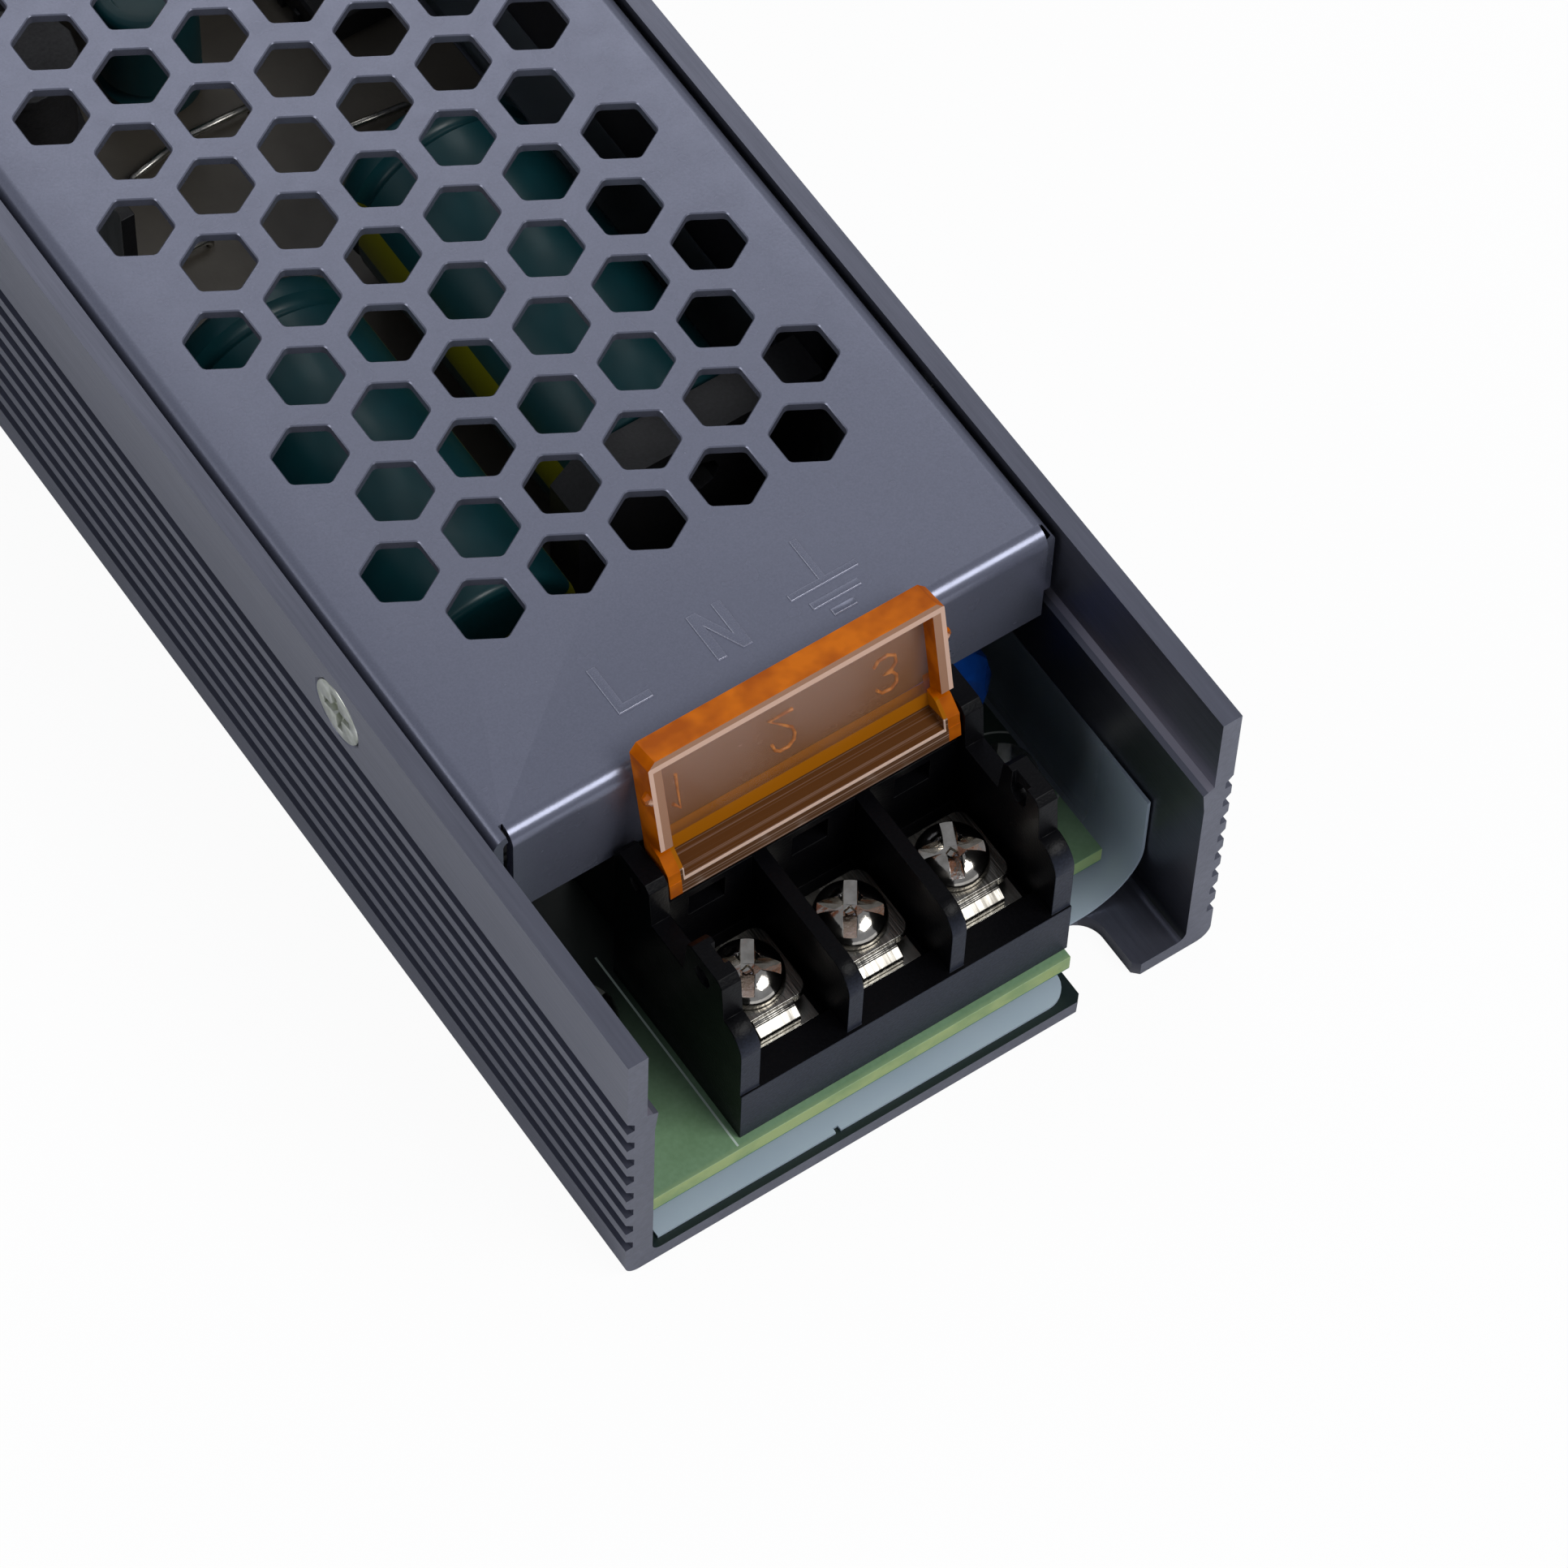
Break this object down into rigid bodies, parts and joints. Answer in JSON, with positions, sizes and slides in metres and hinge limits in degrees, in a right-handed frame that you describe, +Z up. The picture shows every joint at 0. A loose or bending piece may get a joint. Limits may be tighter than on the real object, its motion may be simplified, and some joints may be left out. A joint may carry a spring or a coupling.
{
  "type": "enclosed switching power supply",
  "caption": "Slim enclosed switching power supply: grooved aluminium channel, vented folded cover, screw terminal block at each end under hinged clear amber covers.",
  "frame": {"origin": "centre of the underside", "axes": "+Y along the channel from the mains end to the output end, +Z up from the flat underside, X across"},
  "size_m": [0.05, 0.188, 0.0325],
  "materials": {
    "anodised_aluminium": "satin anodised extrusion with long grooves",
    "painted_steel": "satin metallic grey",
    "zinc_steel": "zinc plated",
    "nickel_steel": "bright nickel plated",
    "tinned_brass": "tinned",
    "board_green": "solder mask over glass board",
    "clear_film": "thin clear film",
    "black_moulding": "fine moulded black",
    "amber_clear": "clear amber moulding",
    "fuse_box": "moulded, smooth",
    "blue_epoxy": "dipped",
    "dark_epoxy": "dipped",
    "film_case": "moulded case, dark grey",
    "ferrite": "sintered, dark grey",
    "enamelled_wire": "enamelled copper",
    "winding_tape": "wrapped tape",
    "teal_sleeve": "printed shrink sleeve, left without text",
    "chip_mould": "moulded epoxy",
    "bright_aluminium": "plain sheet",
    "lamp_green": "tinted lens",
    "trimmer_blue": "moulded",
    "rotor_white": "moulded"
  },
  "bodies": {
    "chassis": {"chassis": "anodised_aluminium", "top_cover": "painted_steel", "cover_screws": "zinc_steel", "circuit_board": "board_green", "insulation_sheet": "clear_film", "board_posts": "zinc_steel", "board_screws": "nickel_steel", "input_terminal_block": "black_moulding", "output_terminal_block": "black_moulding", "input_contacts": "tinned_brass", "output_contacts": "tinned_brass", "fuse": "fuse_box", "varistor": "blue_epoxy", "inrush_thermistor": "dark_epoxy", "filter_capacitor": "film_case", "filter_choke_core": "ferrite", "filter_choke_bobbin": "black_moulding", "filter_choke_windings": "enamelled_wire", "bridge_rectifier": "chip_mould", "bulk_capacitor_left": "teal_sleeve", "bulk_capacitor_right": "teal_sleeve", "jumper_wires": "nickel_steel", "heat_spreader": "bright_aluminium", "switching_transistor": "chip_mould", "start_capacitor": "teal_sleeve", "storage_choke": "ferrite", "control_chip": "chip_mould", "optocoupler": "chip_mould", "transformer_core": "ferrite", "transformer_bobbin": "black_moulding", "transformer_winding": "winding_tape", "safety_capacitors": "blue_epoxy", "output_rectifiers": "chip_mould", "rectifier_strap": "bright_aluminium", "output_choke_core": "ferrite", "output_choke_winding": "enamelled_wire", "output_capacitors": "teal_sleeve", "indicator_lamp": "lamp_green", "trimmer_housing": "trimmer_blue"},
    "input_cover": {"input_terminal_cover": "amber_clear"},
    "output_cover": {"output_terminal_cover": "amber_clear"},
    "voltage_rotor": {"trimmer_rotor": "rotor_white"},
    "input_terminal_1": {"input_screw_1": "nickel_steel", "input_clamp_1": "nickel_steel"},
    "input_terminal_2": {"input_screw_2": "nickel_steel", "input_clamp_2": "nickel_steel"},
    "input_terminal_3": {"input_screw_3": "nickel_steel", "input_clamp_3": "nickel_steel"},
    "output_terminal_1": {"output_screw_1": "nickel_steel", "output_clamp_1": "nickel_steel"},
    "output_terminal_2": {"output_screw_2": "nickel_steel", "output_clamp_2": "nickel_steel"}
  },
  "joints": [
    {"name": "input_cover_hinge", "type": "hinge", "parent": "chassis", "child": "input_cover", "pos_m": [0, -0.0782, 0.0205], "axis": [1, 0, 0], "range_deg": [0, 102]},
    {"name": "output_cover_hinge", "type": "hinge", "parent": "chassis", "child": "output_cover", "pos_m": [0.005, 0.0782, 0.0205], "axis": [1, 0, 0], "range_deg": [0, 102]},
    {"name": "input_screw_lift_1", "type": "slide", "parent": "chassis", "child": "input_terminal_1", "axis": [0, 0, 1], "range_m": [0, 0.0024]},
    {"name": "input_screw_lift_2", "type": "slide", "parent": "chassis", "child": "input_terminal_2", "axis": [0, 0, 1], "range_m": [0, 0.0024]},
    {"name": "input_screw_lift_3", "type": "slide", "parent": "chassis", "child": "input_terminal_3", "axis": [0, 0, 1], "range_m": [0, 0.0024]},
    {"name": "output_screw_lift_1", "type": "slide", "parent": "chassis", "child": "output_terminal_1", "axis": [0, 0, 1], "range_m": [0, 0.0024]},
    {"name": "output_screw_lift_2", "type": "slide", "parent": "chassis", "child": "output_terminal_2", "axis": [0, 0, 1], "range_m": [0, 0.0024]},
    {"name": "trimmer_turn", "type": "hinge", "parent": "chassis", "child": "voltage_rotor", "pos_m": [-0.0095, 0.0874, 0.009], "axis": [0, 0, 1], "range_deg": [-135, 135]}
  ]
}
